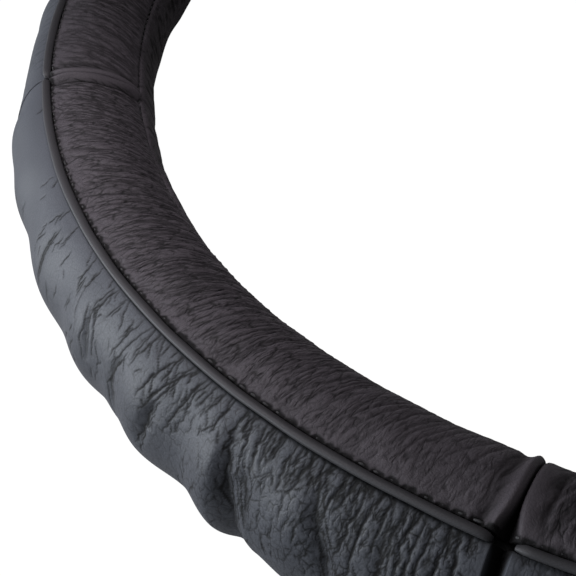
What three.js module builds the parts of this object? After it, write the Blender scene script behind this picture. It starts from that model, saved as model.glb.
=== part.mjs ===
// A pull-on leather steering wheel cover: a sleeve of soft leather, sewn from seven equal lengths
// and closed into a ring, that stretches over a wheel's rim and grips it with two elastic hems.
// Each length has a grip panel over the top and the finger side, a gathered outer panel that wraps
// the outside and tucks under, a narrow inner panel, and piping in the seam beside the grip.
// Millimetres, +Z up. The cover lies face up on a table: the origin is the ring's centre on the
// table, and one cross seam is at +Y, the wheel's twelve o'clock.
import * as THREE from "three";

// The ring and its sleeve. Angles around the sleeve are in degrees from the outward horizontal,
// 90 at the top and 180 on the finger side.
const RING_RADIUS = 172; // ring centre to the middle of the sleeve
const SLEEVE_RADIUS = 17.5; // middle of the sleeve to the grain side of the leather
const TABLE_FLAT = 0.5; // how far the table presses the underside flat
const LENGTH_COUNT = 7; // sewn lengths around the ring
const LEATHER = 1.4; // thickness of the leather and its backing

// The seams along the ring, and the slot that the rim enters by.
const PIPING_ANGLE = 77; // seam between outer panel and grip panel
const GRIP_SEAM_ANGLE = 157.4; // seam between grip panel and inner panel
const INNER_HEM_ANGLE = 215; // lower edge of the inner panel
const SEAM_GAP = 0.3; // between edges that are sewn together

// The piping: a folded strip whose round bead stands on the seam and whose tape is sewn into it.
const BEAD_RADIUS = 0.85;
const BEAD_LIFT = 0.6; // middle of the bead above the sleeve
const BEAD_NECK = 0.05; // where the tape meets the bead, above the sleeve
const TAPE_THICKNESS = 0.8;
const TAPE_DEPTH = 3;

// The cross seams: each panel's end rolls over and turns in, to be sewn to the next length.
const ROLL_LENGTH = 2.6; // from the seam to where the roll starts
const ROLL_DROP = 0.9; // depth at the shoulder of the roll
const ROLL_SHOULDER = 0.6; // from the seam to that shoulder
const TURN_IN = 3.2; // how deep the turned end reaches

// The hems: the edge turns in over a flat elastic and is sewn down beside it.
const ELASTIC_WIDTH = 5;
const ELASTIC_THICKNESS = 1.2;
const TUNNEL_SLACK = 0.6; // free space on each side of the elastic
const HEM_STITCHED = 2.6; // leather past the tunnel, where the turned edge is sewn down

// The gathers: folds that the elastic pulls into the outer panel, as shares of one length, and the
// crowns of the swells between them, in millimetres above the plain sleeve.
const FOLDS = [0.23, 0.39, 0.52, 0.66, 0.775, 0.87];
const CROWNS = [0.1, 0.5, 0.7, 1, 1.1, 0.6, 0.3];
const FOLD_DEPTH = 1.1; // bottom of a fold below the plain sleeve
const MODEL_INDEX = 2; // the length whose folds are exactly those in the list
const DRIFT_SHARE = 0.018; // how much the folds wander from one length to the next
const DRIFT_TURN = 1.9; // how differently each fold wanders, in radians
const CROWN_POWER = 0.6; // under 1, swells are round and the folds between them narrow
const WIDEST_POWER = 1.3; // over 1, the gathers are fullest below the middle of the outer side
const HELD_POWER = 1.2; // over 1, the gathers fade out softly towards the held edges
const INNER_SWELL = 0.8; // crown of the soft waves of the inner panel
const WAVE_TURN = 2.3; // from one station of those waves to the next, in radians

// How finely the round forms are divided.
const SWEEP_STEPS = 7; // steps along one length where nothing is gathered
const ELASTIC_STEPS = 10; // the same along the outer elastic, beside the gathers
const GRIP_STEPS = 4; // across the grip panel
const OUTER_STEPS = 5; // across the free part of the outer panel
const INNER_STEPS = 3; // across the free part of the inner panel
const SHARPEST_BEND = 0.6; // a wall is lengthened at its bends by no more than one over this

const rad = THREE.MathUtils.degToRad;
const lengthAngle = (2 * Math.PI) / LENGTH_COUNT;
const sleeveHeight = SLEEVE_RADIUS - TABLE_FLAT; // middle of the sleeve above the table
const flatHalfAngle = THREE.MathUtils.radToDeg(Math.acos(sleeveHeight / SLEEVE_RADIUS));
const tunnelHeight = ELASTIC_THICKNESS + 2 * TUNNEL_SLACK;
const tunnelWidth = ELASTIC_WIDTH + 2 * TUNNEL_SLACK;
const hemDepth = 2 * LEATHER + tunnelHeight; // from the grain side to the turned-back grain side
const aroundSleeve = (mm, depth = 0) => THREE.MathUtils.radToDeg(mm / (SLEEVE_RADIUS - depth));
const alongRing = (mm) => mm / RING_RADIUS;

const soft = (color) => new THREE.MeshStandardMaterial({ color, roughness: 0.62, metalness: 0 });
const gripLeather = soft(0x2b282a);
const outerLeather = soft(0x2e3032);
const pipingLeather = soft(0x2c2c2e);
const elasticWeb = new THREE.MeshStandardMaterial({ color: 0x18181a, roughness: 0.9, metalness: 0 });

// A point of the sleeve: theta around the ring, phi around the sleeve, depth below the grain side
// and swell above it. The table keeps the underside flat.
function sleevePoint(theta, phi, depth = 0, swell = 0) {
  const radius = SLEEVE_RADIUS - depth + swell;
  const out = RING_RADIUS + radius * Math.cos(rad(phi));
  const up = Math.max(sleeveHeight + radius * Math.sin(rad(phi)), depth);
  return new THREE.Vector3(out * Math.cos(theta), out * Math.sin(theta), up);
}

// The grain side's normal at a station, as the mean of the cells around it, lengthened where the
// sheet bends so that the wall keeps its thickness on both sides of the bend.
function wallOffset(place, i, j) {
  const here = place(i, j);
  const faces = [];
  for (const [di, dj] of [[1, 1], [-1, 1], [-1, -1], [1, -1]]) {
    const a = place(i + di, j);
    const b = place(i, j + dj);
    if (!a || !b) continue;
    faces.push(a.sub(here).cross(b.sub(here)).normalize().multiplyScalar(di * dj));
  }
  const mean = faces.reduce((sum, n) => sum.add(n), new THREE.Vector3()).normalize();
  const lean = faces.reduce((sum, n) => sum + n.dot(mean), 0) / faces.length;
  return mean.multiplyScalar(LEATHER / Math.max(lean, SHARPEST_BEND));
}

// A leather panel: a flat blank of one cell for each step along and across, wrapped so that its
// grain side passes through place(i, j) and its flesh side lies a leather's thickness inside.
// Along a sewn edge, place goes one step further, so that the edge is cut square to the grain.
function wrapPanel(name, material, along, across, place) {
  const blank = new THREE.BoxGeometry(along, across, 1, along, across, 1);
  const position = blank.getAttribute("position");
  for (let n = 0; n < position.count; n++) {
    const i = Math.round(position.getX(n) + along / 2);
    const j = Math.round(position.getY(n) + across / 2);
    const point = place(i, j);
    if (position.getZ(n) < 0) point.sub(wallOffset(place, i, j));
    position.setXYZ(n, point.x, point.y, point.z);
  }
  blank.computeVertexNormals();
  const mesh = new THREE.Mesh(blank, material);
  mesh.name = name;
  return mesh;
}

// The end of a panel at a cross seam, as distances back from the seam and depths turned in there.
const squareEnd = [{ back: SEAM_GAP / 2, turn: 0 }];
const rolledEnd = [
  { back: SEAM_GAP / 2, turn: TURN_IN },
  { back: SEAM_GAP / 2 + ROLL_SHOULDER, turn: ROLL_DROP },
  { back: SEAM_GAP / 2 + ROLL_LENGTH, turn: 0 },
];

// Stations along one length: both ends, and between them the given shares of the length.
function lengthStations(index, ends, shares) {
  const start = Math.PI / 2 + index * lengthAngle;
  const end = start + lengthAngle;
  return [
    ...ends.map(({ back, turn }) => ({ theta: start + alongRing(back), turn })),
    ...shares.map((share) => ({ theta: start + share * lengthAngle, turn: 0, share })),
    ...ends.map(({ back, turn }) => ({ theta: end - alongRing(back), turn })).reverse(),
  ];
}

const evenShares = Array.from({ length: SWEEP_STEPS - 1 }, (_, n) => (n + 1) / SWEEP_STEPS);

// The folds of one length, with the two cross seams as its first and last.
function foldsOf(index) {
  const turn = index - MODEL_INDEX;
  const drift = (n) => DRIFT_SHARE * Math.sin(DRIFT_TURN * (n + 1) * turn);
  return [0, ...FOLDS.map((share, n) => share + drift(n)), 1];
}

// How far the leather stands above the plain sleeve at a share of the length, where it is loosest.
function gatherHeight(folds, share) {
  const n = Math.max(folds.findIndex((fold) => fold > share) - 1, 0);
  const across = (share - folds[n]) / (folds[n + 1] - folds[n]);
  const shape = Math.pow(Math.max(Math.sin(Math.PI * across), 0), CROWN_POWER);
  return THREE.MathUtils.lerp(-FOLD_DEPTH, CROWNS[n], shape);
}

// How loose the leather is at phi: it is held at the piping and under the hem.
function looseness(phi) {
  const held = PIPING_ANGLE + 90 - flatHalfAngle;
  const share = THREE.MathUtils.clamp((PIPING_ANGLE - phi) / held, 0, 1);
  return Math.pow(Math.sin(Math.PI * Math.pow(share, WIDEST_POWER)), HELD_POWER);
}

// The hem of an edge that lies at phi: the leather folds inside over its elastic, and goes back
// to where it is sewn down. The sign says which way round the sleeve the leather comes from.
function hemStations(phi, sign) {
  const tunnel = LEATHER + tunnelWidth;
  const stitchedDepth = 2 * LEATHER + SEAM_GAP;
  const sewn = phi + sign * aroundSleeve(tunnel + HEM_STITCHED, stitchedDepth);
  return [
    { phi, depth: 0, hem: true },
    { phi, depth: hemDepth, hem: true },
    { phi: phi + sign * aroundSleeve(tunnel, hemDepth), depth: hemDepth, hem: true },
    { phi: sewn, depth: stitchedDepth, hem: true },
  ];
}

// The grip panel: from the piping over the top to the seam on the finger side.
function gripPanel(index) {
  const first = PIPING_ANGLE + aroundSleeve(TAPE_THICKNESS / 2 + SEAM_GAP);
  const last = GRIP_SEAM_ANGLE - aroundSleeve(SEAM_GAP / 2);
  const stations = lengthStations(index, rolledEnd, evenShares);
  const place = (i, j) => {
    if (!stations[i]) return null;
    const phi = first + ((last - first) * j) / GRIP_STEPS;
    return sleevePoint(stations[i].theta, phi, stations[i].turn);
  };
  return wrapPanel(`grip_panel_${index + 1}`, gripLeather, stations.length - 1, GRIP_STEPS, place);
}

// The outer panel: from its elastic hem under the sleeve, round the outside and up to the piping,
// gathered into swells and folds. Past the piping its section has one more station, for its edge.
function outerPanel(index) {
  const last = PIPING_ANGLE - aroundSleeve(TAPE_THICKNESS / 2 + SEAM_GAP);
  const flatStart = flatHalfAngle - 90;
  const step = (last - flatStart) / OUTER_STEPS;
  const arc = Array.from({ length: OUTER_STEPS + 2 }, (_, n) => ({
    phi: flatStart + n * step,
    depth: 0,
  }));
  const section = [...hemStations(-90 - flatHalfAngle, 1).reverse(), ...arc];
  const folds = foldsOf(index);
  const shares = folds.slice(0, -1).flatMap((fold, n) => {
    const crowns = n === 0 || n === FOLDS.length ? [1 / 2] : [1 / 3, 2 / 3];
    const steps = n === 0 ? crowns : [0, ...crowns];
    return steps.map((step) => THREE.MathUtils.lerp(fold, folds[n + 1], step));
  });
  const stations = lengthStations(index, rolledEnd, shares);
  const place = (i, j) => {
    if (!stations[i] || !section[j]) return null;
    const { theta, turn, share } = stations[i];
    const { phi, depth, hem } = section[j];
    if (hem || phi === flatStart) return sleevePoint(theta, phi, depth);
    const swell = share === undefined ? 0 : looseness(phi) * gatherHeight(folds, share);
    return sleevePoint(theta, phi, turn, swell);
  };
  const across = section.length - 2;
  return wrapPanel(`outer_panel_${index + 1}`, outerLeather, stations.length - 1, across, place);
}

// The inner panel: from the finger-side seam down to its own elastic hem, with soft waves between
// them. Its section starts with one more station, past the sewn edge.
function innerPanel(index) {
  const first = GRIP_SEAM_ANGLE + aroundSleeve(SEAM_GAP / 2);
  const step = (INNER_HEM_ANGLE - first) / INNER_STEPS;
  const arc = Array.from({ length: INNER_STEPS + 1 }, (_, n) => ({
    phi: first + (n - 1) * step,
    depth: 0,
    waves: n > 1,
  }));
  const section = [...arc, ...hemStations(INNER_HEM_ANGLE, -1)];
  const stations = lengthStations(index, squareEnd, evenShares);
  const place = (i, j) => {
    if (!stations[i] || !section[j + 1]) return null;
    const { phi, depth, waves } = section[j + 1];
    const wave = (1 + Math.sin(WAVE_TURN * i + index)) / 2;
    return sleevePoint(stations[i].theta, phi, depth, waves ? INNER_SWELL * wave : 0);
  };
  const across = section.length - 2;
  return wrapPanel(`inner_panel_${index + 1}`, gripLeather, stations.length - 1, across, place);
}

// The piping of one length: its bead and tape, swept along the seam.
class SeamArc extends THREE.Curve {
  constructor(index) {
    super();
    const start = Math.PI / 2 + index * lengthAngle;
    const half = alongRing(SEAM_GAP / 2);
    this.from = start + half;
    this.to = start + lengthAngle - half;
  }

  getPoint(share, target = new THREE.Vector3()) {
    return target.copy(sleevePoint(THREE.MathUtils.lerp(this.from, this.to, share), PIPING_ANGLE));
  }
}

function piping(index) {
  const tape = TAPE_THICKNESS / 2;
  const bead = [0, 60, 120, 180].map((angle) => [
    BEAD_RADIUS * Math.cos(rad(angle)),
    BEAD_LIFT + BEAD_RADIUS * Math.sin(rad(angle)),
  ]);
  const outline = [
    [tape, -TAPE_DEPTH],
    [tape, BEAD_NECK],
    ...bead,
    [-tape, BEAD_NECK],
    [-tape, -TAPE_DEPTH],
  ];
  // The sweep lays a shape's x along -Z and its y towards the ring's centre.
  const [cos, sin] = [Math.cos(rad(PIPING_ANGLE)), Math.sin(rad(PIPING_ANGLE))];
  const shape = new THREE.Shape(
    outline.map(([x, y]) => new THREE.Vector2(-(y * sin - x * cos), -(y * cos + x * sin))),
  );
  const sweep = { steps: SWEEP_STEPS, extrudePath: new SeamArc(index) };
  const mesh = new THREE.Mesh(new THREE.ExtrudeGeometry(shape, sweep), pipingLeather);
  mesh.name = `piping_${index + 1}`;
  return mesh;
}

// A flat elastic that runs right round the ring in the middle of the tunnel of the hem at phi.
function elastic(name, hemAngle, sign, flat, steps) {
  const depth = LEATHER + TUNNEL_SLACK + ELASTIC_THICKNESS / 2;
  const phi = hemAngle + sign * aroundSleeve(LEATHER + TUNNEL_SLACK + ELASTIC_WIDTH / 2, depth);
  const tilt = flat ? 0 : phi - 90;
  const up = Math.max(sleeveHeight + (SLEEVE_RADIUS - depth) * Math.sin(rad(phi)), depth);
  const middle = new THREE.Vector2(RING_RADIUS + (SLEEVE_RADIUS - depth) * Math.cos(rad(phi)), up);
  const corners = [[-1, -1], [1, -1], [1, 1], [-1, 1], [-1, -1]].map(([x, y]) => {
    const corner = new THREE.Vector2((x * ELASTIC_WIDTH) / 2, (y * ELASTIC_THICKNESS) / 2);
    return corner.rotateAround(new THREE.Vector2(), rad(tilt)).add(middle);
  });
  const geometry = new THREE.LatheGeometry(corners, steps * LENGTH_COUNT, Math.PI).rotateX(Math.PI / 2);
  const mesh = new THREE.Mesh(geometry, elasticWeb);
  mesh.name = name;
  return mesh;
}

const cover = new THREE.Group();
for (let index = 0; index < LENGTH_COUNT; index++) {
  cover.add(gripPanel(index), outerPanel(index), innerPanel(index), piping(index));
}
cover.add(elastic("outer_hem_elastic", -90 - flatHalfAngle, 1, true, ELASTIC_STEPS));
cover.add(elastic("inner_hem_elastic", INNER_HEM_ANGLE, -1, false, SWEEP_STEPS));

export default cover;
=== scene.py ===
import math

import bmesh
import bpy
import numpy as np
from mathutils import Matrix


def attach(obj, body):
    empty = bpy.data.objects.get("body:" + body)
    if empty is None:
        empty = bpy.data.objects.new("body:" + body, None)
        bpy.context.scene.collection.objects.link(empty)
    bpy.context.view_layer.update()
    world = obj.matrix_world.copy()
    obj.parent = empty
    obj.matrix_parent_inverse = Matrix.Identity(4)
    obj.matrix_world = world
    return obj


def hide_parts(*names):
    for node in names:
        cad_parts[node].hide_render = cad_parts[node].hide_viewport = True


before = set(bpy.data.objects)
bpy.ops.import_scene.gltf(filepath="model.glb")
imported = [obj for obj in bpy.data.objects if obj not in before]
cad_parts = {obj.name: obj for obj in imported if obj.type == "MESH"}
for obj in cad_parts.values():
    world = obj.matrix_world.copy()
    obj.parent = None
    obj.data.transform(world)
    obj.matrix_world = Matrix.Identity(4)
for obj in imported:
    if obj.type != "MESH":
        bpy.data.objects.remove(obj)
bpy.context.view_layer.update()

bpy.ops.object.select_all(action="DESELECT")

# Grip panels: soft grained leather over the top and the finger side of the sleeve, one to each
# sewn length. The sleeve bends the leather lengthwise, so it creases across, most on the inside of
# the ring, and the stitches of the piping seam pucker its outer edge.
mm = 0.001
lengths = 7
length_angle = 2 * math.pi / lengths
ring_radius = 172 * mm
sleeve_radius = 17.5 * mm
sleeve_height = 17 * mm
leather = 1.4 * mm  # thickness, with its backing
piping_angle = 77  # degrees around the sleeve: 0 is outwards, 90 on top
grip_seam_angle = 157.4
stitch_pitch = 2.65 * mm
seen_length = 3  # the length that the camera is close to
turn_in = 3.4 * mm  # how deep the end of a panel turns in at a cross seam
seam_gap = 0.35 * mm
gapes = np.array([0.5, 0.3, 0.3, 1.35, 0.6, 0.4, 0.8]) * mm  # how far each length's start gapes
gape_reach = 6 * mm  # along the ring, before the leather lies straight again
skip = 4  # grain-side cells to each flesh-side cell
uv_unit = 10 * mm  # of leather to one unit of its UV map


def around(distance):
    """Degrees around the sleeve for a distance on its surface."""
    return math.degrees(distance / sleeve_radius)


def length_start(number):
    """Theta of the cross seam where a length starts."""
    return math.pi / 2 + (number - 1) * length_angle


def sleeve_point(theta, phi, lift):
    """Points of the sleeve, which the table presses flat underneath."""
    radius = sleeve_radius + lift
    out = ring_radius + radius * np.cos(np.radians(phi))
    up = np.maximum(sleeve_height + radius * np.sin(np.radians(phi)), np.maximum(-lift, 0))
    return np.stack([out * np.cos(theta), out * np.sin(theta), up], axis=-1)


def profile(corners, cell, rounding, scale=1.0, dense=None, coarse=None):
    """A path through (place, depth) corners, rounded, with points a cell apart.

    Outside the dense places the points are the coarse cell apart.
    """
    sample = rounding / 12
    reach = 20  # samples that a corner is rounded over, on each side
    corners = np.array(corners, float)
    spans = np.linalg.norm(np.diff(corners * [scale, 1], axis=0), axis=1)
    marks = np.concatenate([[0], np.cumsum(spans)])
    samples = np.arange(0, marks[-1], sample)
    path = np.stack([np.interp(samples, marks, corners[:, k]) for k in (0, 1)], axis=1)
    kernel = np.hanning(2 * reach + 1)
    kernel /= kernel.sum()
    before = path[0] + (path[0] - path[1]) * np.arange(reach, 0, -1)[:, None]
    after = path[-1] + (path[-1] - path[-2]) * np.arange(1, reach + 1)[:, None]
    path = np.concatenate([before, path, after])
    smooth = np.stack([np.convolve(path[:, k], kernel, "valid") for k in (0, 1)], axis=1)
    spans = np.linalg.norm(np.diff(smooth * [scale, 1], axis=0), axis=1)
    along = np.concatenate([[0], np.cumsum(spans)])
    sizes = np.full(len(along), cell)
    if dense:
        turned_in = smooth[:, 1] > mm
        sizes[(smooth[:, 0] < dense[0]) | (smooth[:, 0] > dense[1]) | turned_in] = coarse
    progress = np.concatenate([[0], np.cumsum(spans / sizes[1:])])
    cells = skip * math.ceil(progress[-1] / skip)
    at = np.interp(np.linspace(0, progress[-1], cells + 1), progress, along)
    return at, np.interp(at, along, smooth[:, 0]), np.interp(at, along, smooth[:, 1])


def end_to_end(number, cell, rounding, gap=seam_gap):
    """Stations along one length: flat distance, theta, how deep the ends turn in, and share."""
    run = ring_radius * length_angle
    rim, sewn = gap / 2, 0.02 * mm  # from the seam's middle, on top and where it is sewn
    sewn_depth = 0.6 * turn_in
    at, place, depth = profile(
        [(sewn, turn_in), (sewn, sewn_depth), (rim, 0), (run - rim, 0),
         (run - sewn, sewn_depth), (run - sewn, turn_in)], cell, rounding)
    return at, length_start(number) + place / ring_radius, depth, place / run


def gape(number, place, depth, phi):
    """How far theta moves back from a cross seam, which the piping seam pulls open at the top."""
    on_grip = phi > piping_angle
    grip_reach, outer_reach = 14, 100  # degrees around the sleeve, from the piping
    width = np.exp(-((phi - piping_angle) / np.where(on_grip, grip_reach, outer_reach)) ** 2)
    first, last = (np.where(on_grip, wide, 1.2 * wide - 0.3 * mm)
                   for wide in gapes[[number - 1, number % lengths]])
    run = ring_radius * length_angle
    back = first * np.exp(-place / gape_reach) - last * np.exp(-(run - place) / gape_reach)
    held = np.clip(1.3 * depth / turn_in - 0.15, 0, 1)  # 1 where the turned end is sewn
    return back * (1 - held) * width / ring_radius


def crease(relief, along, across, path, width, depth, dark, sharp=0.65):
    """Presses one crease with fading ends into a relief of heights and dark lines of painted shade.
    """
    heights, shades, warp_s, warp_t = relief
    path = np.array(path)
    soft_width, line_width = 2.6 * width, 0.9 * width
    reach = 6 * width + 0.4 * mm
    low, high = path.min(axis=0) - reach, path.max(axis=0) + reach
    i0, i1 = np.searchsorted(along, [low[0], high[0]])
    j0, j1 = np.searchsorted(across, [low[1], high[1]])
    if i1 <= i0 or j1 <= j0:
        return
    window = (slice(i0, i1), slice(j0, j1))
    s, t = along[i0:i1, None] + warp_s[window], across[None, j0:j1] + warp_t[window]
    steps = np.diff(path, axis=0)
    sizes = np.linalg.norm(steps, axis=1)
    done, total = 0, sizes.sum()
    away = np.full((i1 - i0, j1 - j0), np.inf)
    share = np.zeros_like(away)
    for start, step, size in zip(path[:-1], steps, sizes):
        part = np.clip(((s - start[0]) * step[0] + (t - start[1]) * step[1]) / size**2, 0, 1)
        here = np.hypot(s - start[0] - part * step[0], t - start[1] - part * step[1])
        share = np.where(here < away, (done + part * size) / total, share)
        away = np.minimum(away, here)
        done += size
    fade = np.sqrt(np.maximum(np.sin(math.pi * np.clip(share, 0, 1)), 0))
    soft = np.exp(-((away / soft_width) ** 2))
    section = sharp * np.exp(-away / width) + (1 - sharp) * soft
    heights[window] = np.minimum(heights[window], -depth * fade * section)
    # The dark line is painted shade along the crease's bottom.
    line = np.minimum(1, 2.1 * dark * fade * np.exp(-((away / line_width) ** 2)))
    shades[window] = np.maximum(shades[window], line)


def wandering(rng, s, t, size, lean, wander, points=5):
    """A crease path from (s, t) that runs across the length and wanders a little."""
    drift = np.cumsum(rng.normal(0, wander, points)) / math.sqrt(points)
    steps = np.linspace(0, 1, points)
    return np.stack([s + lean * size * steps + drift, t + size * steps], axis=1)


def blank_relief(rng, along, across):
    """Heights, dark lines of painted shade, and how far each place is shifted so that creases look
    ragged.
    """
    relief = np.zeros((4, len(along), len(across)))
    ragged = ((1.7, 0.24), (0.7, 0.09))  # size and amount of each, in mm
    for layer in (2, 3):
        for size, amount in ragged:
            cells = [int(line[-1] / (size * mm)) for line in (along, across)]
            relief[layer] += amount * mm * soft_noise(rng, relief.shape[1:], cells)
    return relief


def soft_noise(rng, shape, cells):
    """Smooth noise of about -1 to 1, with that many cells each way."""
    grid = rng.uniform(-1, 1, (cells[0] + 3, cells[1] + 3))
    out = grid
    for axis in (0, 1):
        x = np.linspace(1, cells[axis] + 1 - 1e-6, shape[axis])
        i = np.floor(x).astype(int)
        f = (x - i)[:, None] if axis == 0 else (x - i)[None, :]
        a, b, c, d = (np.take(out, i + k, axis=axis) for k in (-1, 0, 1, 2))
        out = b + 0.5 * f * (c - a + f * (2 * a - 5 * b + 4 * c - d + f * (3 * (b - c) + d - a)))
    return out


def leather_sheet(name, flat_size, place, painted_shade, worked, finishes):
    """A sheet of leather with a fine grain side, a coarse flesh side and cut edges between them."""
    count_s, count_t = place.shape[:2]
    across_s = np.gradient(place[::skip, ::skip], axis=0)
    across_t = np.gradient(place[::skip, ::skip], axis=1)
    normal = np.cross(across_s, across_t)
    normal /= np.linalg.norm(normal, axis=2, keepdims=True)
    flesh = place[::skip, ::skip] - leather * normal
    sides = []
    for points in (place, flesh):
        bpy.ops.mesh.primitive_grid_add(
            x_subdivisions=points.shape[0] - 1, y_subdivisions=points.shape[1] - 1, size=1)
        side = bpy.context.object
        side.data.vertices.foreach_set("co", points.transpose(1, 0, 2).astype(np.float32).ravel())
        for finish in finishes:
            side.data.materials.append(finish)
        sides.append(side)
    flesh_side = sides[1].data
    flesh_side.flip_normals()
    flesh_side.polygons.foreach_set("material_index", np.ones(len(flesh_side.polygons), np.int32))
    bpy.ops.object.select_all(action="DESELECT")
    for side in sides:
        side.select_set(True)
    bpy.context.view_layer.objects.active = sides[0]
    bpy.ops.object.join()
    panel = sides[0]
    panel.name = panel.data.name = name

    def rim(nx, ny, first):
        index = np.arange(nx * ny).reshape(ny, nx) + first
        return np.concatenate([index[0, :-1], index[:-1, -1], index[-1, :0:-1], index[:0:-1, 0]])

    outer = rim(count_s, count_t, 0)
    inner = rim(flesh.shape[0], flesh.shape[1], count_s * count_t)
    work = bmesh.new()
    work.from_mesh(panel.data)
    work.verts.ensure_lookup_table()
    for k in range(len(inner)):
        grain_run = [outer[(skip * k + n) % len(outer)] for n in range(skip, -1, -1)]
        ring = grain_run + [inner[k], inner[(k + 1) % len(inner)]]
        edge = work.faces.new([work.verts[i] for i in ring])
        edge.material_index = 1
    work.to_mesh(panel.data)
    work.free()
    cut_map = panel.data.uv_layers[0]
    cut_map.name = "cut"
    uv = np.empty(2 * len(cut_map.data), np.float32)
    cut_map.data.foreach_get("uv", uv)
    cut_map.data.foreach_set("uv", (uv.reshape(-1, 2) * np.array(flat_size) / uv_unit).ravel())
    # The crease attribute carries painted shade: darkness laid into creases, hollows, grooves and
    # turned ends.
    for title, layer in (("crease", painted_shade), ("worked", worked)):
        values = np.zeros(len(panel.data.vertices), np.float32)
        values[: layer.size] = layer.T.ravel()
        panel.data.attributes.new(title, "FLOAT", "POINT").data.foreach_set("value", values)
    bpy.ops.object.shade_smooth_by_angle(angle=math.radians(60))
    return panel


class Wire:
    """A socket of a finish's nodes. Arithmetic on it adds Math nodes."""

    def __init__(self, finish, socket):
        self.finish, self.socket = finish, socket

    def math(self, operation, *values):
        return self.finish.add("ShaderNodeMath", {"operation": operation}, dict(enumerate(values)))

    def __add__(self, other):
        return self.math("ADD", self, other)

    def __radd__(self, other):
        return self.math("ADD", other, self)

    def __sub__(self, other):
        return self.math("SUBTRACT", self, other)

    def __rsub__(self, other):
        return self.math("SUBTRACT", other, self)

    def __mul__(self, other):
        return self.math("MULTIPLY", self, other)

    def __rmul__(self, other):
        return self.math("MULTIPLY", other, self)


class Finish:
    """A material whose nodes are added one by one."""

    def __init__(self, name):
        self.material = bpy.data.materials.new(name)
        self.material.use_nodes = True
        self.nodes = self.material.node_tree.nodes
        self.nodes.clear()

    def add(self, kind, settings, sockets, out=0):
        """Adds a node with its settings and the values or links of its sockets."""
        node = self.nodes.new(kind)
        for key, value in settings.items():
            setattr(node, key, value)
        for key, value in sockets.items():
            if isinstance(value, Wire):
                self.material.node_tree.links.new(value.socket, node.inputs[key])
            else:
                node.inputs[key].default_value = value
        return Wire(self, node.outputs[out]) if node.outputs else None

    def stretch(self, value, low, high, to_low=0.0, to_high=1.0):
        """Runs smoothly from to_low to to_high as the value goes from low to high."""
        sockets = {0: value, 1: low, 2: high, 3: to_low, 4: to_high}
        return self.add("ShaderNodeMapRange", {"interpolation_type": "SMOOTHSTEP"}, sockets)

    def blend(self, factor, first, second):
        sockets = {0: factor, 6: (*first, 1), 7: (*second, 1)}
        return self.add("ShaderNodeMix", {"data_type": "RGBA"}, sockets, out=2)

    def surface(self, color, roughness, normal, **fixed):
        sockets = {"Base Color": color, "Roughness": roughness, "Normal": normal, **fixed}
        skin = self.add("ShaderNodeBsdfPrincipled", {}, sockets)
        self.add("ShaderNodeOutputMaterial", {}, {"Surface": skin})
        return self.material


def leather_finish(name, dark, pale, crease_size, grain, bump, roughness):
    """Dyed leather: a net of long fine creases where it is worked, pebbled grain and pores, with
    painted shade in the creases that runs its colour towards dark.
    """
    f = Finish(name)
    cell_edges = {"feature": "DISTANCE_TO_EDGE", "voronoi_dimensions": "2D"}
    cut = f.add("ShaderNodeUVMap", {"uv_map": "cut"}, {})
    drift = f.add("ShaderNodeTexNoise", {}, {"Vector": cut, "Scale": 4.0, "Detail": 3.0}, out=1)
    bent = f.add("ShaderNodeMix", {"data_type": "VECTOR"}, {0: 0.12, 4: cut, 5: drift}, out=1)
    worked = f.add("ShaderNodeAttribute", {"attribute_name": "worked"}, {}, out=2)
    crease_shade = f.add("ShaderNodeAttribute", {"attribute_name": "crease"}, {}, out=2)
    nets = []
    net_scales = ((1.0, 0.13), (2.1, 0.2))  # how much finer than crease_size, and line width
    for times, edge in net_scales:
        size = [times * uv_unit / side for side in crease_size]
        net = f.add("ShaderNodeMapping", {}, {"Vector": bent, "Scale": (size[0], size[1], 1)})
        net = f.add("ShaderNodeTexVoronoi", cell_edges, {"Vector": net, "Scale": 1.0})
        where = f.add("ShaderNodeTexNoise", {}, {"Vector": cut, "Scale": 4.0 * times, "Detail": 1.0})
        line = f.stretch(net, 0.0, edge, 1.0, 0.0) * f.stretch(where, 0.4, 0.56)
        nets.append((line * worked, f.stretch(net, 0.0, 0.4) * worked))
    (line, pillow), (fine_line, fine_pillow) = nets
    cells = f.add("ShaderNodeTexVoronoi", cell_edges, {"Vector": bent, "Scale": uv_unit / grain})
    pebble = f.stretch(cells, 0.0, 0.25)
    pores = f.add("ShaderNodeTexNoise", {}, {"Vector": cut, "Scale": 60.0, "Detail": 3.0})
    clouds = f.add("ShaderNodeTexNoise", {}, {"Vector": cut, "Scale": 0.9, "Detail": 4.0})
    # Painted shade: the crease attribute and the net's lines darken the colour; the grain's cell
    # edges and the clouds are the leather's own tone.
    shade = (1 - crease_shade) * (1 - line * 0.85) * (1 - fine_line * 0.5) * (0.9 + pebble * 0.1)
    tone = f.blend(shade * f.stretch(clouds, 0.2, 0.8, 0.85, 1.0), dark, pale)
    rough = clouds * 0.1 + crease_shade * 0.25 + (1 - pebble) * 0.05 + (roughness - 0.05)
    height = pillow * 0.7 + fine_pillow * 0.35 + pebble * 0.2 + pores * 0.5 - line * 0.6
    relief = f.add("ShaderNodeBump", {}, {"Strength": bump, "Distance": 0.2 * mm, "Height": height})
    return f.surface(tone, rough, relief, **{"Specular IOR Level": 0.22})


def flesh_finish(name):
    """The back of the leather, laminated with black tricot."""
    f = Finish(name)
    place = f.add("ShaderNodeTexCoord", {}, {}, out=3)
    knit = f.add("ShaderNodeTexVoronoi", {}, {"Vector": place, "Scale": 1400.0})
    mottled = f.add("ShaderNodeTexNoise", {}, {"Vector": place, "Scale": 60.0, "Detail": 3.0})
    tone = f.blend(mottled, (0.012, 0.012, 0.013), (0.028, 0.027, 0.028))
    bump = f.add("ShaderNodeBump", {}, {"Strength": 0.5, "Distance": 0.2 * mm, "Height": knit})
    return f.surface(tone, mottled * 0.1 + 0.85, bump)


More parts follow.
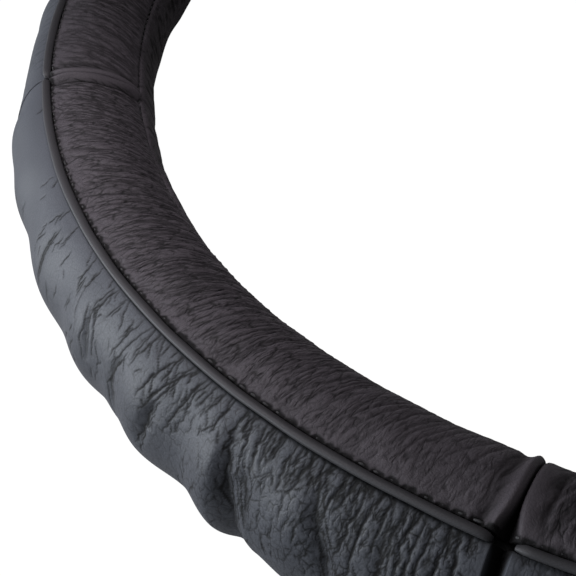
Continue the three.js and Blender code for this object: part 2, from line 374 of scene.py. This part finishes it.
flesh_leather = flesh_finish("flesh_side")
grip_leather = leather_finish(
    "grip_leather", dark=(0.003, 0.0025, 0.003), pale=(0.0545, 0.048, 0.0555),
    crease_size=(1.0 * mm, 4.5 * mm), grain=0.6 * mm, bump=0.48, roughness=0.56)


def stitch_pull(at):
    """1 along each stitch of a seam and 0 where the leather bulges between two."""
    return 1 - (0.5 - 0.5 * np.cos(2 * math.pi * at / stitch_pitch)) ** 5


def grip_creases(rng, number, along, across):
    """Cross creases of a grip panel, as heights in metres and dark lines of painted shade."""
    relief = blank_relief(rng, along, across)
    run, width = along[-1], across[-1]
    near = abs(number - seen_length) <= 1
    medium_pitch, small_pitch = (0.3 * mm, 0.25 * mm) if near else (0.6 * mm, 0.6 * mm)
    broad = 1 if number == seen_length else 1.4
    leans = np.interp(along, np.linspace(0, run, 9), rng.uniform(0.05, 0.5, 9))

    def lean_at(s):
        return np.interp(s, along, leans)

    beside_seams = (turn_in + 3.6 * mm, run - turn_in - 4.2 * mm)
    for s in beside_seams:
        path = wandering(rng, s, 0.15 * width, 0.75 * width, 0.02, 0.6 * mm, 8)
        crease(relief, along, across, path, 0.4 * mm, 0.55 * mm, 0.9)
    s = 4 * mm
    while s < run - 7 * mm:
        s += rng.uniform(0.9, 2.1) * mm
        start = width * rng.uniform(0.1, 0.5)
        size = width * rng.uniform(0.8, 1.0) - start
        path = wandering(rng, s, start, size, lean_at(s) + rng.normal(0, 0.05), 0.6 * mm, 8)
        crease(relief, along, across, path, broad * rng.uniform(0.17, 0.26) * mm,
               rng.uniform(0.22, 0.4) * mm, rng.uniform(0.7, 1))
    for _ in range(int(run / medium_pitch)):
        s, start = rng.uniform(2 * mm, run - 6 * mm), width * rng.uniform(0.07, 0.85)
        size = rng.uniform(3, 9) * mm
        pebbled = np.clip((s / run - 0.8) / 0.1, 0, 1)
        lean = lean_at(s) + rng.normal(0, 0.12 + 0.7 * pebbled)
        path = wandering(rng, s, start, size * (1 - 0.5 * pebbled), lean, 0.4 * mm)
        crease(relief, along, across, path, broad * rng.uniform(0.16, 0.26) * mm,
               rng.uniform(0.12, 0.26) * mm, rng.uniform(0.45, 0.9))
    for _ in range(int(run / small_pitch)):
        s, start = rng.uniform(2 * mm, run - 5 * mm), width * rng.uniform(0.02, 0.95)
        near_piping = start < 0.3 * width
        size = rng.uniform(1.2, 4.2) * mm
        lean = lean_at(s) + rng.normal(0, 0.75 if near_piping else 0.3)
        path = wandering(rng, s, start, size, lean, 0.25 * mm, 4)
        crease(relief, along, across, path, broad * rng.uniform(0.14, 0.2) * mm,
               rng.uniform(0.06, 0.13) * mm, rng.uniform(0.25, 0.6))
    return relief


# Cells along a panel: in the seen length, in its neighbours, and in those further away.
grip_cells = np.array([0.15, 0.32, 0.5, 0.6, 0.6]) * mm
grip_turned = 2.4 * mm  # how deep the panel's edge turns into the piping seam
grip_far_turned = 2.2 * mm  # and into the finger-side seam


def grip_panel(number):
    rng = np.random.default_rng(100 + number)
    fine = number == seen_length
    at, theta, end_depth, share = end_to_end(
        number, grip_cells[abs(number - seen_length)], 0.6 * mm)
    first = piping_angle + around(0.75 * mm)
    last = grip_seam_angle - around(seam_gap / 2)
    side, phi, side_depth = profile(
        [(first, grip_turned), (first, 0), (last, 0), (last, grip_far_turned)],
        (0.22 if fine else 0.4) * mm, 0.6 * mm, math.radians(sleeve_radius),
        dense=(first - 1, first + around(3 * mm)), coarse=(0.42 if fine else 0.75) * mm)
    heights, shades = grip_creases(rng, number, at, side)[:2]
    s, t = at[:, None], side[None, :]
    from_end = np.minimum(s, s[-1] - s) - turn_in

    # Near its edges the panel is held flat, and towards its far end the seen one is smoother.
    open_part = np.clip((from_end - 0.8 * mm) / (2.4 * mm), 0, 1)
    edge = np.exp(-np.maximum(t - 2.5 * mm, 0) / (0.55 * mm))
    far_edge = np.exp(-np.maximum(side[-1] - t - 2.3 * mm, 0) / (0.6 * mm))
    flat = open_part * (1 - edge) * (1 - far_edge)
    vigour = np.ones(len(share))
    if fine:
        vigour = np.interp(share, (0, 0.5, 0.75, 0.9), (1.2, 1.1, 0.75, 0.5))
    strength = vigour[:, None] * flat
    lift = 1.25 * heights * strength

    # A rolled ridge beside each cross seam with a hollow behind it, then waves and flecks.
    rise = np.where(s > s[-1] / 2, 0.4, 0.55 if fine else 0.05)
    wavy = 1 + 0.5 * soft_noise(rng, lift.shape, (40, 6))
    lift += rise * wavy * mm * np.exp(-((from_end - 0.8 * mm) / (0.7 * mm)) ** 2)
    hollow = rise * wavy * np.exp(-((from_end - 2.9 * mm) / (1.0 * mm)) ** 2)
    lift -= 0.9 * mm * hollow
    lift += 0.16 * mm * soft_noise(rng, lift.shape, (26, 5))
    flecks = soft_noise(rng, lift.shape, (int(at[-1] / (0.7 * mm)), 30))
    lift += 0.12 * mm * flecks * np.exp(-np.maximum(t - grip_turned, 0) / (0.9 * mm))

    # Each stitch pulls the edge down and sideways.
    pull = stitch_pull(s + 0 * t)
    lift += (edge + far_edge) * (0.05 * mm - 0.15 * mm * pull)
    lift -= np.hypot(end_depth[:, None], side_depth[None, :])
    shift = around(0.12 * mm) * edge * (pull - 0.5) - around(0.1 * mm) * far_edge * pull
    turn = theta[:, None] + gape(number, share[:, None] * ring_radius * length_angle,
                                 end_depth[:, None], phi[None, :])
    place = sleeve_point(turn, phi[None, :] + shift, lift)

    # Painted shade: dark lines in the creases and in the hollows behind the seam ridges, the ragged
    # grooves along both seams, dashed by the stitches, and the turned ends, where light hardly
    # reaches.
    ragged = t + 0.25 * mm * flecks - 0.4 * mm * pull
    groove_shade = np.exp(-((np.maximum(ragged - 2.5 * mm, 0) / (0.32 * mm)) ** 2))
    far_groove_shade = np.exp(-np.maximum(side[-1] - ragged - grip_far_turned, 0) / (0.25 * mm))
    inside = np.clip(end_depth[:, None] / (1.2 * mm), 0, 1)
    shade_lines = 0.6 * shades * strength + 1.1 * hollow
    painted_shade = np.clip(shade_lines + groove_shade + far_groove_shade + inside, 0, 1)
    worked = np.clip(from_end / (4 * mm) - 0.4, 0, 1) * np.clip(t / (4 * mm) - 0.4, 0.3, 1)
    worked = worked * np.interp(share, (0.7, 0.88), (1, 0.55))[:, None]
    panel = leather_sheet(f"grip_{number}", (at[-1], side[-1]), place, painted_shade, worked,
                          (grip_leather, flesh_leather))
    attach(panel, "root")
    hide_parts(f"grip_panel_{number}")


for number in range(1, lengths + 1):
    grip_panel(number)

# Outer panels: the same leather, left loose and smooth, from the piping round the outside to the
# underside, where a hem with an elastic in it draws the leather into swells and deep folds. At the
# piping the seam holds the fullness in, so short puckers run out from it.
hem_angle = -103.7
hem_depth = 5.2 * mm
stitched_depth = 3.1 * mm  # of the turned edge, where it is sewn down beside the elastic
tunnel_width = 7.6 * mm
turned_width = 10.2 * mm
outer_cells = np.array([0.22, 0.5, 0.7, 0.9, 0.9]) * mm
# Its pale tone is bluer than the grip's, a painted reflection of the bluish side lamp on the same
# black leather.
outer_leather = leather_finish(
    "outer_leather", dark=(0.002, 0.002, 0.0025), pale=(0.051, 0.0545, 0.065),
    crease_size=(1.2 * mm, 4 * mm), grain=0.8 * mm, bump=0.25, roughness=0.5)
# Swells and hollows at the widest line of a length: share of the length, height in mm. The upper
# neighbour has its own, and the other lengths have the seen one's, shifted, some end for end.
seen_swells = ((0, -1.2), (0.046, 0), (0.09, -0.35), (0.14, -0.1), (0.233, -1.05), (0.325, 0.35),
               (0.395, -0.55), (0.463, 0.5), (0.515, -0.5), (0.545, -0.25), (0.59, 0.75),
               (0.665, -0.75), (0.715, 0.9), (0.749, -1), (0.77, -0.5), (0.82, 0.45), (0.865, -0.35),
               (0.93, 0.1), (1, -1.5))
upper_swells = ((0, -1), (0.08, 0.1), (0.17, -0.7), (0.26, 0.5), (0.33, -0.6), (0.42, 0.4),
                (0.5, -0.8), (0.58, 0.3), (0.65, -0.5), (0.7, -0.35), (0.8, -1.15), (0.9, -1.5),
                (0.975, -1.55), (1, -1))
turned_lengths = (1, 5, 7)
# Deep folds of the seen length: share and phi of each point, then depth and width in mm.
deep_folds = (
    ((0.724, 66), (0.728, 50), (0.734, 34), (0.746, 16), (0.75, -15), 0.9, 0.6),
    ((0.752, 46), (0.762, 32), (0.768, 16), 0.5, 0.6),
    ((0.624, 44), (0.615, 28), (0.606, 8), 0.9, 0.5),
    ((0.83, 60), (0.842, 45), (0.86, 28), (0.866, 8), 0.9, 0.6),
    ((0.468, 54), (0.478, 42), (0.487, 30), (0.49, 20), 0.5, 0.35),
    ((0.55, 50), (0.54, 32), (0.55, 10), 0.5, 0.5),
    ((0.33, 60), (0.335, 15), 0.3, 0.8),
    ((0.905, 60), (0.915, 20), 0.4, 0.5),
)
# Long creases of the seen length, from the piping: its share, where it ends, and how dark its painted
# shade line is.
long_creases = (
    (0.485, 0.47, 42, 0.7), (0.505, 0.505, 62, 0.5), (0.545, 0.53, 38, 0.6), (0.56, 0.54, 30, 0.6),
    (0.585, 0.57, 50, 0.5), (0.623, 0.603, 38, 1), (0.64, 0.617, 36, 0.8), (0.645, 0.604, 30, 1),
    (0.661, 0.64, 34, 0.9), (0.672, 0.662, 50, 0.8), (0.682, 0.674, 56, 0.6), (0.693, 0.688, 57, 0.7),
    (0.707, 0.703, 50, 0.9), (0.723, 0.722, 46, 1), (0.736, 0.737, 58, 0.8), (0.75, 0.757, 48, 0.8),
    (0.768, 0.775, 55, 0.7), (0.79, 0.8, 45, 0.7), (0.808, 0.82, 57, 0.9), (0.822, 0.825, 65, 0.8),
    (0.833, 0.831, 59, 0.9), (0.854, 0.842, 38, 1), (0.864, 0.856, 56, 0.9), (0.876, 0.87, 30, 0.9),
    (0.889, 0.88, 22, 1), (0.9, 0.897, 42, 0.9), (0.912, 0.905, 12, 1), (0.924, 0.926, 30, 1),
    (0.935, 0.93, 15, 1), (0.947, 0.951, 35, 1), (0.958, 0.954, 18, 1), (0.969, 0.973, 40, 0.9),
)


def swell(number, share):
    """How far the leather swells at each share of the length, in metres."""
    swells = np.array(upper_swells if number == seen_length - 1 else seen_swells)
    if number in turned_lengths:
        swells = (swells * [-1, 1] + [1, 0])[::-1]
    drift = 0 if number == seen_length else 0.02
    places = swells[:, 0] + drift * np.sin(7 * swells[:, 0] + 2 * number)
    places[0], places[-1] = -0.001, 1.001
    k = np.clip(np.searchsorted(places, share) - 1, 0, len(places) - 2)
    part = np.clip((share - places[k]) / (places[k + 1] - places[k]), 0, 1)
    part = part * part * (3 - 2 * part)
    return (swells[k, 1] * (1 - part) + swells[k + 1, 1] * part) * mm


def hem_turns():
    """Degrees from the hem's rim back to the tunnel's end and to the turned edge."""
    tunnel = math.degrees(tunnel_width / (sleeve_radius - hem_depth))
    sewn = math.degrees(turned_width / (sleeve_radius - stitched_depth))
    return tunnel, sewn


def unrest(number, share):
    """How creased the leather is at each share of the length, from 0 to 1."""
    if number == seen_length - 1:
        share = 0.2 * share
    if number == seen_length + 1:
        share = 0.95 - 0.5 * share
    return np.interp(share, (0, 0.3, 0.6, 0.85, 1), (0, 0.12, 0.5, 1, 1))


def outer_creases(rng, number, along, across, phi, fine):
    """Folds, puckers and wrinkles of an outer panel, as heights in metres and dark lines of painted
    shade.
    """
    relief = blank_relief(rng, along, across)
    run = along[-1]
    rising = len(phi) // 3  # past the hem, from where phi only rises

    def spot(share, angle):
        t = np.interp(angle, phi[rising:], across[rising:])
        return turn_in + share * (run - 2 * turn_in), t

    for *path, depth, width in deep_folds:
        shift, tilt = (0, 0) if fine else rng.normal(0, 0.022, 2)
        grow = 1 if fine else rng.uniform(0.5, 1.1)
        points = np.array([spot(share + shift + tilt * (angle - 74) / 80, angle)
                           for share, angle in path])
        points[1:-1, 0] += rng.normal(0, 0.3, len(path) - 2) * mm
        # Each fold has a soft dark line of painted shade, and three thin creases beside it with their
        # own.
        crease(relief, along, across, points, width * mm, depth * grow * mm, 0.35 * grow, 0.3)
        for _ in range(3):
            beside = points + [rng.normal(0, 0.6 * mm), rng.normal(0, 1.5 * mm)]
            beside[1:-1, 0] += rng.normal(0, 0.4, len(beside) - 2) * mm
            crease(relief, along, across, beside, 0.16 * mm, 0.3 * grow * mm, min(1, grow), 0.85)
    for share, end, angle, dark in long_creases:
        shift = 0 if fine else rng.normal(0, 0.02)
        dark *= 1 if fine else rng.uniform(0.4, 1)
        s, begin = spot(share + shift, piping_angle - 2)
        to_s, to_t = spot(end + shift, angle)
        main = wandering(rng, s, begin, to_t - begin, (to_s - s) / (to_t - begin), 0.5 * mm, 8)
        crease(relief, along, across, main, 0.2 * mm, 0.3 * dark * mm, dark, 0.85)
        for _ in range(rng.integers(1, 4)):
            root = main[rng.integers(1, 6)]
            twig = wandering(rng, root[0], root[1], (to_t - begin) * rng.uniform(0.15, 0.4),
                             rng.choice([-1, 1]) * rng.uniform(0.3, 0.7), 0.4 * mm, 4)
            crease(relief, along, across, twig, 0.16 * mm, 0.18 * dark * mm, 0.9 * dark, 0.85)
    for _ in range(int(run / (1.1 * mm))):
        share = rng.uniform(0.02, 0.985)
        if rng.uniform() > unrest(number, share):
            continue
        s, begin = spot(share, piping_angle - 2)
        size = rng.uniform(2, 8) * mm * np.interp(share, (0.85, 1), (1, 0.5))
        main = wandering(rng, s, begin, -size, rng.normal(-0.05, 0.2), 0.6 * mm, 6)
        crease(relief, along, across, main, rng.uniform(0.15, 0.22) * mm,
               rng.uniform(0.15, 0.3) * mm, rng.uniform(0.7, 1), 0.8)
    for _ in range(int(run / ((0.3 if fine else 0.6) * mm))):
        share = rng.uniform(0.01, 0.985)
        if rng.uniform() > unrest(number, share):
            continue
        s, t = spot(share, piping_angle - 3 - abs(rng.normal(0, 1)) * 32)
        size = rng.uniform(1.2, 5) * mm
        path = wandering(rng, s, t, -size, rng.normal(0, 0.35), 0.5 * mm, 4)
        crease(relief, along, across, path, rng.uniform(0.15, 0.22) * mm,
               rng.uniform(0.05, 0.16) * mm, rng.uniform(0.3, 0.75))
    return relief


def outer_panel(number):
    rng = np.random.default_rng(200 + number)
    fine = number == seen_length
    at, theta, end_depth, share = end_to_end(
        number, outer_cells[abs(number - seen_length)], 0.3 * mm, 0.1 * mm)
    last = piping_angle - around(0.5 * mm)
    tunnel, sewn = hem_turns()
    side, phi, side_depth = profile(
        [(hem_angle + sewn, stitched_depth), (hem_angle + tunnel, hem_depth),
         (hem_angle, hem_depth), (hem_angle, 0), (last, 0), (last, 2.2 * mm)],
        (0.38 if fine else 0.9) * mm, 0.8 * mm, math.radians(sleeve_radius),
        dense=(-22, 80), coarse=1.3 * mm)
    heights, shades = outer_creases(rng, number, at, side, phi, fine)[:2]
    s, t = at[:, None], side[None, :]
    from_end = np.minimum(s, s[-1] - s) - turn_in

    # The leather is loose from a little below the piping down to where it tucks under.
    hem_half = len(side) // 2
    shown = t > np.interp(0, side_depth[:hem_half][::-1], side[:hem_half][::-1])
    under = np.clip((phi[None, :] + 76) / 16, 0, 1) * shown
    below_piping = np.clip((72 - phi[None, :]) / 42, 0, 1)
    loose = below_piping * below_piping * (3 - 2 * below_piping) * under
    open_part = np.clip((from_end - 0.3 * mm) / (1.7 * mm), 0, 1)
    edge = np.exp(-np.maximum(side[-1] - t - 2.4 * mm, 0) / (0.6 * mm))
    calm = 0.35 if number == seen_length - 1 else 1  # the upper neighbour is hardly creased
    flat = calm * open_part * under * (1 - 0.6 * edge)
    lift = loose * swell(number, share)[:, None]
    lift += 0.22 * mm * soft_noise(rng, lift.shape, (22, 5)) * loose * open_part
    lift += heights * flat
    turned = end_depth[:, None] * np.clip((phi[None, :] + 90) / 30, 0, 1)
    lift -= np.hypot(turned, side_depth[None, :])
    turn = theta[:, None] + gape(number, share[:, None] * ring_radius * length_angle,
                                 end_depth[:, None], phi[None, :])
    place = sleeve_point(turn, phi[None, :] + 0 * s, lift)
    # Painted shade: dark lines in the creases and folds, a shadow along the piping that deepens where
    # the leather is restless, and the dark turned ends.
    inside = np.clip(turned / mm - 0.3, 0, 1)
    restless = unrest(number, share)[:, None]
    painted_shade = np.clip(shades * flat + (0.1 + 0.65 * restless) * edge + inside * under, 0, 1)
    worked = restless * open_part * np.interp(phi, (-60, -10, 20, 77), (0.1, 0.4, 0.9, 1))[None, :]
    panel = leather_sheet(f"outer_{number}", (at[-1], side[-1]), place, painted_shade, worked,
                          (outer_leather, flesh_leather))
    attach(panel, "root")
    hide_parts(f"outer_panel_{number}")


for number in range(1, lengths + 1):
    outer_panel(number)

# Inner panels: narrow strips of the same leather from the finger-side seam down to the inner hem,
# where the edge turns in round its own elastic.
inner_hem_angle = 215
inner_leather = leather_finish(
    "inner_leather", dark=(0.003, 0.0025, 0.003), pale=(0.044, 0.0385, 0.045),
    crease_size=(1.1 * mm, 4 * mm), grain=0.6 * mm, bump=0.6, roughness=0.58)


def inner_panel(number):
    rng = np.random.default_rng(300 + number)
    at, theta, end_depth, _ = end_to_end(number, 1.2 * mm, 0.8 * mm)
    first = grip_seam_angle + around(seam_gap / 2)
    tunnel, sewn = hem_turns()
    side, phi, side_depth = profile(
        [(first, 2.0 * mm), (first, 0), (inner_hem_angle, 0), (inner_hem_angle, hem_depth),
         (inner_hem_angle - tunnel, hem_depth), (inner_hem_angle - sewn, stitched_depth)],
        0.9 * mm, 0.8 * mm, math.radians(sleeve_radius))
    relief = blank_relief(rng, at, side)
    s = 4 * mm
    while s < at[-1] - 4 * mm:
        s += rng.uniform(0.7, 2.0) * mm
        path = wandering(rng, s, rng.uniform(2.5, 8) * mm, rng.uniform(3, 9) * mm,
                         rng.normal(0.1, 0.2), 0.4 * mm)
        crease(relief, at, side, path, rng.uniform(0.3, 0.45) * mm, rng.uniform(0.12, 0.4) * mm,
               rng.uniform(0.5, 0.9))
    s, t = at[:, None], side[None, :]
    shown = (side_depth < 0.3 * mm)[None, :]
    edge = np.exp(-np.maximum(t - 2.2 * mm, 0) / (0.9 * mm))
    from_end = np.minimum(s, s[-1] - s) - turn_in
    open_part = np.clip(from_end / (4 * mm), 0, 1)
    lift = relief[0] * open_part * (1 - edge) * shown
    lift += 0.4 * mm * soft_noise(rng, lift.shape, (18, 3)) * open_part * shown
    lift += edge * (0.05 * mm - 0.15 * mm * stitch_pull(s + 0 * t))
    turned = end_depth[:, None] * np.clip((195 - phi[None, :]) / 20, 0, 1)
    lift -= np.hypot(turned, side_depth[None, :])
    place = sleeve_point(theta[:, None], phi[None, :] + 0 * s, lift)
    # Painted shade: dark lines in the creases.
    painted_shade = np.clip(relief[1] * open_part * shown, 0, 1)
    panel = leather_sheet(f"inner_{number}", (at[-1], side[-1]), place, painted_shade, open_part * shown,
                          (inner_leather, flesh_leather))
    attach(panel, "root")
    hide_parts(f"inner_panel_{number}")


for number in range(1, lengths + 1):
    inner_panel(number)

# Piping: a strip of smooth leather folded over a cord and sewn into the seam beside the grip. It
# is cut at each cross seam, where its ends are pulled down between the panels.
bead_radius = 0.85 * mm
bead_height = 0.25 * mm
bead_squash = 0.95
bead_lean = 0.4  # how much higher the bead is towards the outer side
tape = 0.4 * mm  # half the thickness of the tape under the bead
piping_leather = leather_finish(
    "piping_leather", dark=(0.006, 0.006, 0.0065), pale=(0.037, 0.0365, 0.04),
    crease_size=(0.6 * mm, 1 * mm), grain=0.5 * mm, bump=0.2, roughness=0.5)


def piping(number):
    rng = np.random.default_rng(400 + number)
    tape_end, neck = -3 * mm, -0.7 * mm  # below the sleeve's surface
    across = [(tape, tape_end), (tape, neck)]
    across += [(bead_radius * math.cos(a),
                bead_height + bead_radius * (bead_squash * math.sin(a) + bead_lean * math.cos(a)))
               for a in np.radians(np.linspace(-50, 230, 15))]
    across += [(-tape, neck), (-tape, tape_end)]
    outline = np.array(across)
    steps = 260 if number == seen_length else 130
    bpy.ops.mesh.primitive_circle_add(vertices=len(outline), fill_type="NGON")
    bead = bpy.context.object
    bead.name = bead.data.name = f"piping_bead_{number}"
    middle = sleeve_radius + outline[:, 1]
    turn = math.radians(piping_angle)
    out = ring_radius + middle * math.cos(turn) + outline[:, 0] * math.sin(turn)
    up = sleeve_height + middle * math.sin(turn) - outline[:, 0] * math.cos(turn)
    # The bead ends short of both cross seams.
    open_first, open_last = seam_gap + 0.9 * gapes[[number - 1, number % lengths]]
    start = length_start(number) + open_first / ring_radius
    points = np.stack([out * math.cos(start), out * math.sin(start), up], axis=1)
    bead.data.vertices.foreach_set("co", points.astype(np.float32).ravel())
    bpy.ops.object.mode_set(mode="EDIT")
    bpy.ops.mesh.select_all(action="SELECT")
    turned = length_angle - (open_first + open_last) / ring_radius
    bpy.ops.mesh.spin(steps=steps, angle=-turned, center=(0, 0, 0), axis=(0, 0, 1))
    bpy.ops.mesh.select_all(action="SELECT")
    bpy.ops.mesh.normals_make_consistent(inside=False)
    bpy.ops.object.mode_set(mode="OBJECT")
    count = len(bead.data.vertices)
    co = np.empty(3 * count, np.float32)
    bead.data.vertices.foreach_get("co", co)
    co = co.reshape(-1, 3).astype(float)
    theta = np.arctan2(co[:, 1], co[:, 0])
    run = ((theta - length_start(number)) % (2 * math.pi)) * ring_radius
    whole = ring_radius * length_angle
    core = np.array([ring_radius + (sleeve_radius + bead_height) * math.cos(turn),
                     sleeve_height + (sleeve_radius + bead_height) * math.sin(turn)])
    off_out = np.hypot(co[:, 0], co[:, 1]) - core[0]
    off_up = co[:, 2] - core[1]
    shape_noise = soft_noise(rng, (600, 2), (24, 1))[:, 0]
    noise_run = np.linspace(0, whole, len(shape_noise))
    swelling = 1 + 0.04 * np.interp(run, noise_run, shape_noise)
    end = np.maximum(np.minimum(run - open_first, whole - open_last - run), 0)
    swelling *= 1 - 0.45 * np.exp(-end / (0.5 * mm))
    sink = -0.4 * mm * np.exp(-end / (0.8 * mm)) - 0.5 * mm * np.exp(-(whole - run) / (3 * mm))
    wander = 0.07 * mm * np.interp(run, noise_run, np.roll(shape_noise, 97))
    new_out = core[0] + off_out * swelling + wander
    new_up = core[1] + off_up * swelling + sink
    co = np.stack([new_out * np.cos(theta), new_out * np.sin(theta), new_up], axis=1)
    bead.data.vertices.foreach_set("co", co.astype(np.float32).ravel())
    uv_map = bead.data.uv_layers.new(name="cut")
    corner = np.empty(len(bead.data.loops), np.int32)
    bead.data.loops.foreach_get("vertex_index", corner)
    angle = np.arctan2(off_up, off_out) * bead_radius
    uv = np.stack([run, angle], axis=1)[corner] / uv_unit
    uv_map.data.foreach_set("uv", uv.astype(np.float32).ravel())
    bead.data.materials.append(piping_leather)
    bpy.ops.object.shade_smooth_by_angle(angle=math.radians(60))
    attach(bead, "root")
    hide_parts(f"piping_{number}")


for number in range(1, lengths + 1):
    piping(number)

# Seam tape: a strip of black knit glued over the inside of each cross seam, which keeps the seam
# tight. It reaches from the outer side over the top to the inner panel.
tape_width = 12 * mm
tape_thickness = 0.4 * mm
tape_first, tape_last = -50, 185  # degrees around the sleeve
seam_knit = flesh_finish("seam_tape")


def seam_tape(number):
    bpy.ops.mesh.primitive_grid_add(x_subdivisions=6, y_subdivisions=60, size=1)
    strip = bpy.context.object
    strip.name = strip.data.name = f"seam_tape_{number}"
    for vertex in strip.data.vertices:
        theta = length_start(number) + vertex.co.x * tape_width / ring_radius
        phi = np.interp(vertex.co.y, (-0.5, 0.5), (tape_first, tape_last))
        vertex.co = sleeve_point(theta, phi, -turn_in - tape_thickness - 0.05 * mm)
    wall = strip.modifiers.new("thickness", "SOLIDIFY")
    wall.thickness = tape_thickness
    wall.offset = 1
    bpy.ops.object.modifier_apply(modifier=wall.name)
    strip.data.materials.append(seam_knit)
    bpy.ops.object.shade_smooth_by_angle(angle=math.radians(60))
    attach(strip, "root")


for number in range(1, lengths + 1):
    seam_tape(number)

# Sewing thread: bonded black thread, one row of stitches in the groove beside the piping and one
# in the finger-side seam.
thread_radius = 0.24 * mm
stitch_half = 0.62 * mm  # half a stitch's length, without its round ends


def thread_finish():
    f = Finish("black_thread")
    place = f.add("ShaderNodeTexCoord", {}, {}, out=3)
    twist = f.add("ShaderNodeTexNoise", {}, {"Vector": place, "Scale": 2500.0, "Detail": 1.0})
    tone = f.blend(twist, (0.009, 0.009, 0.01), (0.032, 0.032, 0.034))
    bump = f.add("ShaderNodeBump", {}, {"Strength": 0.5, "Distance": 0.1 * mm, "Height": twist})
    return f.surface(tone, twist * 0.2 + 0.6, bump)


black_thread = thread_finish()


def stitch_row(name, number, phi, depth):
    """The stitches along one length, each a bead of thread whose ends dip into the leather."""
    bpy.ops.mesh.primitive_uv_sphere_add(segments=6, ring_count=6, radius=thread_radius)
    one = bpy.context.object
    points = np.array([vertex.co for vertex in one.data.vertices])
    faces = [list(polygon.vertices) for polygon in one.data.polygons]
    bpy.data.objects.remove(one)
    points = points[:, [2, 0, 1]]  # the sphere's poles become the stitch's ends
    points[:, 0] += np.sign(np.round(points[:, 0], 6)) * stitch_half
    run = ring_radius * length_angle
    all_points, all_faces = [], []
    first = math.ceil((turn_in + 0.8 * mm) / stitch_pitch)
    count = int((run + turn_in) / stitch_pitch) - first
    for n in range(count):
        middle = (first + n) * stitch_pitch - turn_in
        theta = length_start(number) + (middle + points[:, 0]) / ring_radius
        dip = 0.25 * mm * (np.abs(points[:, 0]) / (0.9 * mm)) ** 2
        lift = points[:, 2] - depth - dip
        angle = phi + np.degrees(points[:, 1] / sleeve_radius)
        all_points.append(sleeve_point(theta, angle, lift))
        all_faces += [[i + n * len(points) for i in face] for face in faces]
    mesh = bpy.data.meshes.new(f"{name}_{number}")
    mesh.from_pydata(np.concatenate(all_points), [], all_faces)
    mesh.materials.append(black_thread)
    row = bpy.data.objects.new(f"{name}_{number}", mesh)
    bpy.context.collection.objects.link(row)
    work = bmesh.new()
    work.from_mesh(mesh)
    bmesh.ops.recalc_face_normals(work, faces=work.faces)
    work.to_mesh(mesh)
    work.free()
    mesh.shade_smooth()
    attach(row, "root")


for number in range(1, lengths + 1):
    stitch_row("piping_stitches", number, piping_angle + around(1.35 * mm), 0.25 * mm)
    stitch_row("grip_stitches", number, grip_seam_angle, 0.5 * mm)

# Elastics: a flat ring of black woven elastic inside each hem, which draws the cover tight under
# the rim. Their shapes are the frame's own.


def elastic_finish():
    f = Finish("woven_elastic")
    place = f.add("ShaderNodeTexCoord", {}, {}, out=3)
    weave = f.add("ShaderNodeTexWave", {}, {"Vector": place, "Scale": 900.0, "Distortion": 1.0})
    tone = f.blend(weave, (0.008, 0.008, 0.009), (0.03, 0.03, 0.032))
    bump = f.add("ShaderNodeBump", {}, {"Strength": 0.5, "Distance": 0.2 * mm, "Height": weave})
    return f.surface(tone, weave * 0.1 + 0.8, bump)


elastic_web = elastic_finish()
for name in ("outer_hem_elastic", "inner_hem_elastic"):
    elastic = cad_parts[name]
    elastic.data.materials.clear()
    elastic.data.materials.append(elastic_web)

# Studio: a white paper floor, which the camera sees brighter than the light that it gives back, a
# dim world, a large lamp from the left and a small one over the grip.
bpy.ops.mesh.primitive_plane_add(size=12, location=(0, 0, -0.0002))
floor = bpy.context.object
floor.name = "floor"
paper_white = (0.4, 0.4, 0.4, 1)
glow_share = 0.9  # of what the camera sees of the paper
paper = Finish("white_paper")
camera_ray = paper.add("ShaderNodeLightPath", {}, {})
white = paper.add("ShaderNodeBsdfDiffuse", {}, {"Color": paper_white})
glow = paper.add("ShaderNodeEmission", {}, {"Color": (1, 1, 1, 1), "Strength": 1.12})
mixed = paper.add("ShaderNodeMixShader", {}, {0: camera_ray * glow_share, 1: white, 2: glow})
paper.add("ShaderNodeOutputMaterial", {}, {"Surface": mixed})
floor.data.materials.append(paper.material)

world = bpy.data.worlds.new("studio")
bpy.context.scene.world = world
world.use_nodes = True
sky = world.node_tree.nodes["Background"]
path = world.node_tree.nodes.new("ShaderNodeLightPath")
strength = world.node_tree.nodes.new("ShaderNodeMapRange")
strength.inputs["To Min"].default_value = 0.12  # on the object
strength.inputs["To Max"].default_value = 1.0  # as the camera sees it
world.node_tree.links.new(path.outputs["Is Camera Ray"], strength.inputs["Value"])
world.node_tree.links.new(strength.outputs["Result"], sky.inputs["Strength"])
sky.inputs["Color"].default_value = (1, 1, 1, 1)


def lamp(name, place, target, size, power, tint, spread=180):
    """A square lamp at a place, aimed at a target."""
    data = bpy.data.lights.new(name, "AREA")
    data.shape = "SQUARE"
    data.size = size
    data.energy = power
    data.color = tint
    data.spread = math.radians(spread)
    made = bpy.data.objects.new(name, data)
    bpy.context.collection.objects.link(made)
    made.location = place
    aim = np.array(target) - np.array(place)
    tilt = math.atan2(math.hypot(aim[0], aim[1]), -aim[2])
    made.rotation_euler = (tilt, 0, math.atan2(aim[1], aim[0]) - math.pi / 2)


lamp("side_lamp", (-1.2, -0.15, 0.36), (-0.14, -0.08, 0.0), 0.8, 22.0, (0.91, 0.96, 1.0))
lamp("top_lamp", (-0.155, -0.065, 0.16), (-0.15, -0.08, 0.03), 0.1, 0.085, (1.0, 0.94, 0.98), 105)

# Camera: fitted to the photograph's seams, silhouettes and cross seams.
camera_data = bpy.data.cameras.new("camera")
camera_data.lens = 55.851
camera = bpy.data.objects.new("camera", camera_data)
bpy.context.collection.objects.link(camera)
camera.location = (-85.43 * mm, -214.42 * mm, 149.19 * mm)
camera.rotation_euler = [math.radians(a) for a in (42.108, 8.3445, 3.5374)]
camera_data.clip_start = 0.01
bpy.context.scene.camera = camera
bpy.context.scene.view_settings.view_transform = "Standard"
